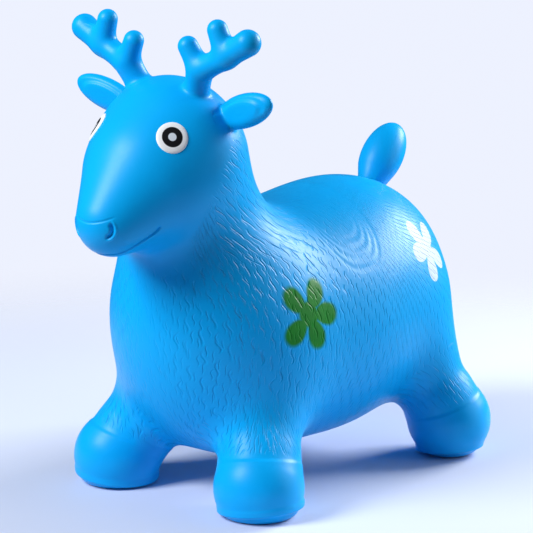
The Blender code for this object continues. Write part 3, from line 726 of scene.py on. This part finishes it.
def hair_strength(points):
    """0 on the face, the saddle and the hooves, and 1 where the strokes are deepest."""
    ahead, height = points[..., 1], points[..., 2]
    cheek = -0.172 + 3.5 * np.maximum(height - 0.29, 0.0) ** 2
    haired = np.maximum(smooth(0.0, 0.014, ahead - cheek), smooth(0.262, 0.245, height))
    off_saddle = 0.30 + 0.70 * smooth(1.0, 1.16, saddle_ring(points))
    off_saddle = np.where(height > 0.15, off_saddle, 1.0)
    rear = 1.0 - 0.30 * smooth(0.06, 0.15, ahead)
    top = 1.0 - 0.55 * smooth(0.262, 0.290, height) * smooth(0.05, 0.09, ahead)
    crown = 1.0 - smooth(0.400, 0.425, height)
    breast = 0.35 + 0.65 * smooth(0.0, 0.070, np.abs(points[..., 0]) + 0.9 * np.maximum(ahead + 0.165, 0.0))
    return haired * off_saddle * rear * top * crown * breast


def hair_fineness(points):
    """0 for the bold strokes of the shoulder and the chest, 1 for the fine ones behind them."""
    ahead, height = points[..., 1], points[..., 2]
    behind = smooth(-0.045, 0.020, ahead + 0.25 * np.maximum(0.20 - height, 0.0))
    chest = 0.45 * smooth(-0.115, -0.160, ahead) * smooth(0.26, 0.22, height)
    leg = 0.60 * smooth(0.145, 0.095, height)
    return np.maximum(np.maximum(behind, chest), np.maximum(leg, 0.25 * smooth(0.30, 0.34, height)))


def give_hair(mesh, limb_flow, limb_share):
    """The attributes that carry the strokes: trunk_flow and limb_flow, each with its strength."""
    points = mesh_points(mesh)
    strength, share, fineness = hair_strength(points), limb_share(points), hair_fineness(points)
    attribute(mesh, "trunk_flow", np.stack([*trunk_flow(points), strength * (1 - share)], -1))
    attribute(mesh, "limb_flow", np.stack([*limb_flow(points), strength * share], -1))
    attribute(mesh, "fineness", np.stack([fineness, 0 * fineness, 0 * fineness], -1))


def neck_share(points):
    return smooth(0.245, 0.285, points[..., 2] - 0.35 * np.maximum(points[..., 1] + 0.05, 0.0))


# ---- shader maths
class Wave:
    """A socket that adds Math nodes when it is used in an expression."""

    def __init__(self, tree, socket):
        self.tree, self.socket = tree, socket

    def _math(self, operation, *values):
        node = self.tree.node("ShaderNodeMath", {"operation": operation}, dict(enumerate(values)))
        return Wave(self.tree, node.outputs[0])

    def __add__(self, other): return self._math("ADD", self, other)
    def __radd__(self, other): return self._math("ADD", other, self)
    def __sub__(self, other): return self._math("SUBTRACT", self, other)
    def __rsub__(self, other): return self._math("SUBTRACT", other, self)
    def __mul__(self, other): return self._math("MULTIPLY", self, other)
    def __truediv__(self, other): return self._math("DIVIDE", self, other)
    def __pow__(self, other): return self._math("POWER", self, other)
    def floor(self): return self._math("FLOOR", self)
    def fract(self): return self._math("FRACT", self)
    def sine(self): return self._math("SINE", self)
    def positive(self): return self._math("MAXIMUM", self, 0.0)
    def most(self, other): return self._math("MAXIMUM", self, other)

    def rise(self, low, high):
        """0 below low, 1 above high, smooth between."""
        node = self.tree.node("ShaderNodeMapRange", {"interpolation_type": "SMOOTHSTEP"},
                              {0: self, 1: low, 2: high, 3: 0.0, 4: 1.0})
        return Wave(self.tree, node.outputs[0])


class Finish:
    """A material and the calls that add nodes to it."""

    def __init__(self, name):
        self.material = bpy.data.materials.new(name)
        self.material.use_nodes = True
        self.nodes = self.material.node_tree.nodes
        self.links = self.material.node_tree.links
        self.shader = self.nodes["Principled BSDF"]

    def node(self, kind, settings=None, values=None):
        made = self.nodes.new(kind)
        for key, value in (settings or {}).items():
            setattr(made, key, value)
        for key, value in (values or {}).items():
            self.put(made.inputs[key], value)
        return made

    def put(self, socket, value):
        if isinstance(value, Wave):
            self.links.new(value.socket, socket)
        elif isinstance(value, bpy.types.NodeSocket):
            self.links.new(value, socket)
        else:
            socket.default_value = value

    def wave(self, socket):
        return Wave(self, socket)

    def split(self, socket):
        node = self.node("ShaderNodeSeparateXYZ", {}, {0: socket})
        return [self.wave(output) for output in node.outputs]

    def place(self):
        return self.node("ShaderNodeTexCoord").outputs["Object"]

    def read(self, name):
        return self.node("ShaderNodeAttribute", {"attribute_name": name}).outputs["Vector"]

    def noise(self, scale, detail=2.0, rough=0.5):
        node = self.node("ShaderNodeTexNoise", {},
                         {"Vector": self.place(), "Scale": scale, "Detail": detail, "Roughness": rough})
        return self.wave(node.outputs["Fac"])

    def mix(self, share, first, second):
        node = self.node("ShaderNodeMix", {"data_type": "RGBA"}, {0: share, 6: first, 7: second})
        return node.outputs[2]

    def bump(self, height):
        bump = self.node("ShaderNodeBump", {}, {"Height": height, "Distance": 1.0, "Strength": 1.0})
        return bump.outputs["Normal"]

    def set(self, **values):
        for key, value in values.items():
            self.put(self.shader.inputs[key.replace("_", " ")], value)


BOLD_CELL = (0.0104, 0.0250)
FINE_CELL = (0.0057, 0.0180)


def strokes(across, along, width, length, shift, half_width):
    """Curved strokes, one in each cell of a staggered grid; 1 in the middle of a stroke."""
    column = across / width + shift
    column_number = column.floor()
    stagger = (column_number * 0.6180 + shift).fract()
    row = along / length + stagger
    row_number = row.floor()
    seed = column_number * 0.7549 + row_number * 0.5698
    first = seed.fract()
    second = (seed * 3.7 + first * 5.3).fract()
    third = (seed * 7.1 + second * 4.1).fract()
    place = row.fract() - 0.5 - (second - 0.5) * 0.16
    bend = (place * place) * (third * 2.4 - 0.9) + (place * 9.5).sine() * (first * 0.13 + 0.05)
    away = (column.fract() - 0.5 - (first - 0.5) * 0.30 - bend) * width
    taper = 1.0 - (place / (0.32 + third * 0.10)) ** 2
    reach = away / half_width
    body = (1.0 - reach * reach).positive() * taper.positive()
    return body * (0.50 + second * 0.50)


def hair(finish):
    """The depth of the hair strokes, 0 to 1, from both flows: bold ones give way to fine ones."""
    total = None
    fineness, _, _ = finish.split(finish.read("fineness"))
    for name in ("trunk_flow", "limb_flow"):
        across, along, strength = finish.split(finish.read(name))
        bold = strokes(across, along, *BOLD_CELL, 0.37, 0.00130)
        fine = strokes(across + along * 0.10, along, *FINE_CELL, 0.81, 0.00080)
        both = (bold * (1.0 - fineness)).most(fine * (0.30 + fineness * 0.50)) * strength
        total = both if total is None else total + both
    return total


def petal_flower(finish, centre, petals, length, width, edge):
    """1 inside a print of petals round its middle: wedges with round ends, seen along X."""
    _, y, z = finish.split(finish.place())
    across, up = y - centre[0], z - centre[1]
    waver = (finish.noise(120.0) - 0.5) * 0.22
    total = 1.0 - (across * across + up * up) / (width * 1.20) ** 2
    for back, above in petals:
        away = math.hypot(back, above)
        along = across * (back / away) + up * (above / away)
        beside = up * (back / away) - across * (above / away)
        narrow = (0.74 + along * (0.26 / away)) * width
        petal = 1.0 - ((along - away) / length) ** 2 - (beside / narrow) ** 2
        total = total.most(petal)
    return (total + waver).rise(-edge, edge)


PVC_LIGHT = (0.001, 0.390, 0.860, 1.0)
PVC_DEEP = (0.001, 0.352, 0.815, 1.0)
# painted shade: the darker blue laid into the hair strokes' grooves, where shade falls
STROKE_PAINTED_SHADE = (0.001, 0.180, 0.640, 1.0)
PRINT_GREEN = (0.002, 0.145, 0.004, 1.0)
PRINT_LIME = (0.012, 0.250, 0.008, 1.0)
PRINT_WHITE = (0.560, 0.680, 0.800, 1.0)
STROKE_DEPTH = 0.00150
GREEN_FLOWER = (-0.0605, 0.2009)
GREEN_PETALS = ((0.0140, 0.0180), (-0.0150, 0.0155), (-0.0185, -0.0150), (0.0072, -0.0205),
                (0.0240, -0.0028))
WHITE_FLOWER = (0.1581, 0.2329)
WHITE_PETALS = ((-0.0095, 0.0160), (0.0135, 0.0110), (-0.0165, -0.0010), (0.0150, -0.0120),
                (-0.0040, -0.0195))


def make_pvc(name, marked):
    """Satin rotomoulded PVC, plain or with the hair strokes, painted shade in their grooves, and the sprayed
    prints.
    """
    pvc = Finish(name)
    cloud = pvc.noise(9.0, 3.0)
    colour = pvc.mix(cloud, PVC_DEEP, PVC_LIGHT)
    grain = pvc.noise(420.0, 3.0, 0.6)
    height = (grain - 0.5) * 0.00003 + (pvc.noise(38.0, 2.0) - 0.5) * 0.00025
    rough = 0.36 + (cloud - 0.5) * 0.10 + (grain - 0.5) * 0.10
    if marked:
        depth = hair(pvc)
        height = height - depth * STROKE_DEPTH
        # painted shade: the colour darkens with each stroke's depth, standing in for the shade in its groove
        colour = pvc.mix(depth * 0.15, colour, STROKE_PAINTED_SHADE)
        green = petal_flower(pvc, GREEN_FLOWER, GREEN_PETALS, 0.0164, 0.0115, 0.36)
        white = petal_flower(pvc, WHITE_FLOWER, WHITE_PETALS, 0.0142, 0.0093, 0.08)
        green_paint = pvc.mix(pvc.noise(60.0, 3.0), PRINT_GREEN, PRINT_LIME)
        colour = pvc.mix(green * 0.985, colour, green_paint)
        colour = pvc.mix(white * 0.96, colour, PRINT_WHITE)
        rough = rough + white * 0.10
    pvc.set(Base_Color=colour, Roughness=rough, Normal=pvc.bump(height))
    pvc.shader.inputs["Specular IOR Level"].default_value = 0.15
    return pvc.material


VALVE_WHITE = (0.80, 0.83, 0.86, 1.0)
VALVE_SHADE = (0.72, 0.75, 0.78, 1.0)
skin_pvc = make_pvc("blue_pvc_haired", True)
plain_pvc = make_pvc("blue_pvc_plain", False)
valve_finish = Finish("valve_pvc")
valve_colour = valve_finish.mix(valve_finish.noise(60.0), VALVE_SHADE, VALVE_WHITE)
valve_finish.set(Base_Color=valve_colour, Roughness=0.35 + valve_finish.noise(400.0) * 0.10)
valve_pvc = valve_finish.material


EYE_PLACE = np.array([0.0498, -0.1938, 0.3924])
EYE_HALF_WIDTH = 0.0157
EYE_HALF_HEIGHT = 0.0165
EYE_THICKNESS = 0.0015
EYE_DEPTH = 0.0006
EYE_START = 0.012
RING_INNER, RING_OUTER, RING_BLUR = 0.0042, 0.0106, 0.0003
EYE_DOT = (0.600, 0.660, 0.740, 1.0)
EYE_WHITE = (0.800, 0.820, 0.850, 1.0)
EYE_BLACK = (0.006, 0.006, 0.008, 1.0)


def make_eye_vinyl():
    """White vinyl with a black ring round a paler dot, by the distance from the disc's middle."""
    vinyl = Finish("eye_vinyl")
    across, up, _ = vinyl.split(vinyl.read("disc"))
    away = (across * across + up * up) ** 0.5
    black = away.rise(RING_INNER - RING_BLUR, RING_INNER + RING_BLUR)
    black = black * (1.0 - away.rise(RING_OUTER - RING_BLUR, RING_OUTER + RING_BLUR))
    colour = vinyl.mix(black, vinyl.mix(away.rise(0.0040, 0.0060), EYE_DOT, EYE_WHITE), EYE_BLACK)
    vinyl.set(Base_Color=colour, Roughness=0.34 + vinyl.noise(300.0) * 0.06)
    vinyl.shader.inputs["Specular IOR Level"].default_value = 0.30
    return vinyl.material


eye_vinyl = make_eye_vinyl()


def build_eye(side_name, side):
    """A thin domed disc that follows the skin: polar rings, dropped along the eye's normal on to it."""
    normal = gradient(upper_skin, EYE_PLACE[None])[0]
    across = unit(np.cross((0.0, 0.0, 1.0), normal))
    up = np.cross(normal, across)
    share = np.sin(np.linspace(0, math.pi / 2, 45))[1:, None, None]
    angle = np.linspace(0, 2 * math.pi, 120, endpoint=False)[None, :, None]
    flat = share * (np.cos(angle) * across * EYE_HALF_WIDTH + np.sin(angle) * up * EYE_HALF_HEIGHT)
    starts = EYE_PLACE + flat - normal * EYE_START
    reach = find_out(upper_skin, starts, np.broadcast_to(normal, starts.shape), 0.0)
    points = starts + normal * reach[..., None]
    out = gradient(upper_skin, points)
    top = points + out * (EYE_THICKNESS * np.sqrt(1.0 - 0.999 * share ** 8))
    under = (points - out * EYE_DEPTH)[::-1]
    places = share * np.concatenate([np.cos(angle), np.sin(angle), 0 * angle], -1) * EYE_HALF_HEIGHT
    places = np.concatenate([places, places[::-1]]).reshape(-1, 3)
    rings = np.concatenate([top, under])
    if side < 0:
        rings = flip_side(rings)
    mesh = grid_mesh("eye_" + side_name, rings)
    attribute(mesh, "disc", np.concatenate([places, np.zeros((2, 3))]))
    thing = make("eye_" + side_name + "_disc", mesh, eye_vinyl, 70)
    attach(thing, "deer")
    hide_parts("eye_" + side_name)


def build_trunk():
    points, tip = trunk_grid()
    mesh = grid_mesh("trunk_skin", points, first=tip)
    give_hair(mesh, neck_flow, neck_share)
    thing = make("trunk_skin", mesh, skin_pvc)
    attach(thing, "deer")
    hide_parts("trunk")


def build_head():
    points, tip = head_grid()
    mesh = grid_mesh("head_skin", points, last=tip)
    give_hair(mesh, neck_flow, neck_share)
    thing = make("head_skin", mesh, skin_pvc)
    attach(thing, "deer")
    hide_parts("head", "neck")


# each foot's line on which its upper edge is level: direction, first and last place
SQUASH_LINES = {"fore": (unit((-0.564, 0.399, 0.723)), 0.0395, -0.004),
                "hind": (unit((-0.566, -0.332, 0.754)), 0.0430, -0.015)}


def build_leg(name):
    joint = leg_joints[name]
    hoof = leg_rods[name][0].end
    up = unit(leg_rods[name][0].start - hoof)
    path = np.array([hoof, hoof + up * 1e-6])
    distance = foot_skin(name)
    points, pole = limb_grid(distance, path, joint, 160, 130, 1, 60, DIVE_LENGTH)
    points = sunk(points, distance, joint, lambda spots: leg_carving(name, spots))
    points[..., 2] = np.maximum(points[..., 2], 0.0)
    mesh = grid_mesh(name + "_leg_skin", points, first=pole)
    centre, normal = hoof_lines[name.replace("right", "left")]

    def above_line(spots):
        folded = spots * np.array([np.sign(hoof[0]), 1.0, 1.0])
        return smooth(0.003, 0.010, (folded - np.array(centre)) @ np.array(normal))

    give_hair(mesh, lambda spots: leg_flow(name, spots), lambda spots: smooth(0.135, 0.100, spots[..., 2]))
    spots = mesh_points(mesh)
    for kind in ("trunk_flow", "limb_flow"):
        values = np.empty(len(spots) * 3, dtype=np.float32)
        mesh.attributes[kind].data.foreach_get("vector", values)
        values = values.reshape(-1, 3)
        values[:, 2] *= above_line(spots)
        mesh.attributes[kind].data.foreach_set("vector", values.ravel())
    thing = make(name + "_leg_skin", mesh, skin_pvc)
    line, first, last = SQUASH_LINES[name[:4]]
    line = line * np.array([np.sign(hoof[0]), 1.0, 1.0])
    name + "_foot"
    tuple(hoof + line * first)
    tuple(hoof + line * last)
    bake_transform(thing)
    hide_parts(name + "_leg", name + "_hoof")


def build_limb(name, pieces, side, bend, carving=no_carving):
    """A limb in one mesh, with its side branches."""
    meshes = []
    for distance, path, joint, sizes in pieces:
        points, pole = limb_grid(distance, path, joint, *sizes, DIVE_LENGTH)
        points = sunk(points, distance, joint, carving)
        if side < 0:
            points, pole = flip_side(points), flip_side(pole)
        meshes.append(grid_mesh(name, points, first=pole))
    mesh = join_meshes(name, meshes) if len(meshes) > 1 else meshes[0]
    thing = make(name + "_skin", mesh, plain_pvc)
    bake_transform(thing)
    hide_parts(name)


build_trunk()
build_head()
for leg_name in leg_rods:
    build_leg(leg_name)

FORK_JOINT_AWAY = 0.013
FORK_JOINT_RADIUS = 0.0150
brow_axis = unit(brow_tine.end - brow_tine.start)
top_axis = unit(top_tine.end - top_tine.start)
brow_joint = Joint(brow_tine.start + brow_axis * FORK_JOINT_AWAY, FORK_JOINT_RADIUS, brow_axis)
top_joint = Joint(top_tine.start + top_axis * FORK_JOINT_AWAY, FORK_JOINT_RADIUS, top_axis)
antler_main = with_joints(upper_skin, [brow_joint, top_joint])
for side_name, side_sign in (("left", 1), ("right", -1)):
    build_eye(side_name, side_sign)
    build_limb("antler_" + side_name, [
        (antler_main, [outer_tine.end, outer_tine.start, beam.start, antler_joint.centre], antler_joint,
         (110, 24, 80, 30)),
        (upper_skin, [brow_tine.end, brow_joint.centre], brow_joint, (80, 20, 14, 18)),
        (upper_skin, [top_tine.end, top_joint.centre], top_joint, (80, 20, 14, 18)),
    ], side_sign, (stem.start, stem.start + antler_axis * 0.016))
    build_limb("ear_" + side_name, [
        (upper_skin, [ear.centre + ear_axis * 0.022, ear_joint.centre], ear_joint, (120, 36, 60, 30)),
    ], side_sign, (ear_root, ear_root + ear_axis * 0.016), ear_carving)
build_limb("tail", [
    (lower_skin, [tail.centre, tail_joint.centre], tail_joint, (130, 50, 50, 36)),
], 1, (tail_root, tail_root + tail_axis * 0.020))

for node_name in ("valve_seat", "valve_plug"):
    valve_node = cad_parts[node_name]
    valve_node.data.materials.clear()
    valve_node.data.materials.append(valve_pvc)

# ---- stage, lamps and camera
AZIMUTH = math.radians(38.9115)
TILT = math.radians(12.2312)
CAMERA_AWAY = 2.7484
PIXELS_A_METRE = 924.0901
IMAGE = 533
AIM_PIXEL = (272.3863, 465.8017)
AIM = Vector((0, 0.0240, 0))

right = Vector((math.cos(AZIMUTH), math.sin(AZIMUTH), 0))
ahead = Vector((-math.sin(AZIMUTH) * math.cos(TILT), math.cos(AZIMUTH) * math.cos(TILT), -math.sin(TILT)))
up = right.cross(ahead)
camera_data = bpy.data.cameras.new("camera")
camera_data.sensor_width = 36
camera_data.lens = PIXELS_A_METRE * CAMERA_AWAY / IMAGE * 36
camera = bpy.data.objects.new("camera", camera_data)
bpy.context.scene.collection.objects.link(camera)
camera.matrix_world = Matrix.Translation(
    AIM - ahead * CAMERA_AWAY - right * ((AIM_PIXEL[0] - IMAGE / 2) / PIXELS_A_METRE)
    + up * ((AIM_PIXEL[1] - IMAGE / 2) / PIXELS_A_METRE)) @ Matrix((right, up, -ahead)).transposed().to_4x4()
bpy.context.scene.camera = camera


def area_lamp(name, place, size, watts, colour=(1, 1, 1), aim=(0, 0, 0.25)):
    data = bpy.data.lights.new(name, "AREA")
    data.energy, data.color, data.shape = watts, colour, "RECTANGLE"
    data.size, data.size_y = size
    lamp = bpy.data.objects.new(name, data)
    bpy.context.scene.collection.objects.link(lamp)
    lamp.location = place
    lamp.rotation_euler = (Vector(aim) - Vector(place)).to_track_quat("-Z", "Y").to_euler()


view_right, view_back = np.array(right), np.array((-ahead.x, -ahead.y, 0.0))


def beside(right_by, toward_camera, height):
    return tuple(view_right * right_by + unit(view_back) * toward_camera + np.array([0, 0, height]))


area_lamp("left_softbox", beside(-1.55, 0.80, 1.55), (0.9, 1.0), 61, (0.98, 0.99, 1.0))
area_lamp("right_softbox", beside(1.68, -1.00, 1.12), (1.1, 0.8), 68, (0.98, 0.985, 1.0))
area_lamp("right_fill", beside(1.95, 0.15, 0.75), (1.6, 1.6), 12, (0.98, 0.985, 1.0))

BACKGROUND = (0.85, 0.885, 1.0, 1.0)
FLOOR_FADE = (0.45, 1.10)
floor_mesh = bpy.data.meshes.new("floor")
floor_mesh.from_pydata([(-4, -4, 0), (4, -4, 0), (4, 4, 0), (-4, 4, 0)], [], [(0, 1, 2, 3)])
floor = bpy.data.objects.new("floor", floor_mesh)
bpy.context.scene.collection.objects.link(floor)
paper = Finish("paper")
paper.set(Base_Color=(0.61, 0.67, 0.83, 1.0), Roughness=0.7)
floor_x, floor_y, _ = paper.split(paper.place())
from_deer = (floor_x * floor_x + floor_y * floor_y) ** 0.5
clear = paper.node("ShaderNodeBsdfTransparent").outputs[0]
paper_to_clear = paper.node("ShaderNodeMixShader", {}, {0: from_deer.rise(*FLOOR_FADE),
                                                        1: paper.shader.outputs[0], 2: clear})
paper.put(paper.nodes["Material Output"].inputs["Surface"], paper_to_clear.outputs[0])
floor_mesh.materials.append(paper.material)

world = bpy.data.worlds.new("studio")
bpy.context.scene.world = world
world.use_nodes = True
sky, sky_links = world.node_tree.nodes, world.node_tree.links
sky["Background"].inputs[0].default_value = (0.86, 0.90, 1.00, 1.0)
sky["Background"].inputs[1].default_value = 0.06
seen = sky.new("ShaderNodeBackground")
seen.inputs[0].default_value = BACKGROUND
seen.inputs[1].default_value = 1.0
choose = sky.new("ShaderNodeMixShader")
sky_links.new(sky.new("ShaderNodeLightPath").outputs["Is Camera Ray"], choose.inputs[0])
sky_links.new(sky["Background"].outputs[0], choose.inputs[1])
sky_links.new(seen.outputs[0], choose.inputs[2])
sky_links.new(choose.outputs[0], sky["World Output"].inputs["Surface"])
bpy.context.scene.view_settings.view_transform = "Standard"
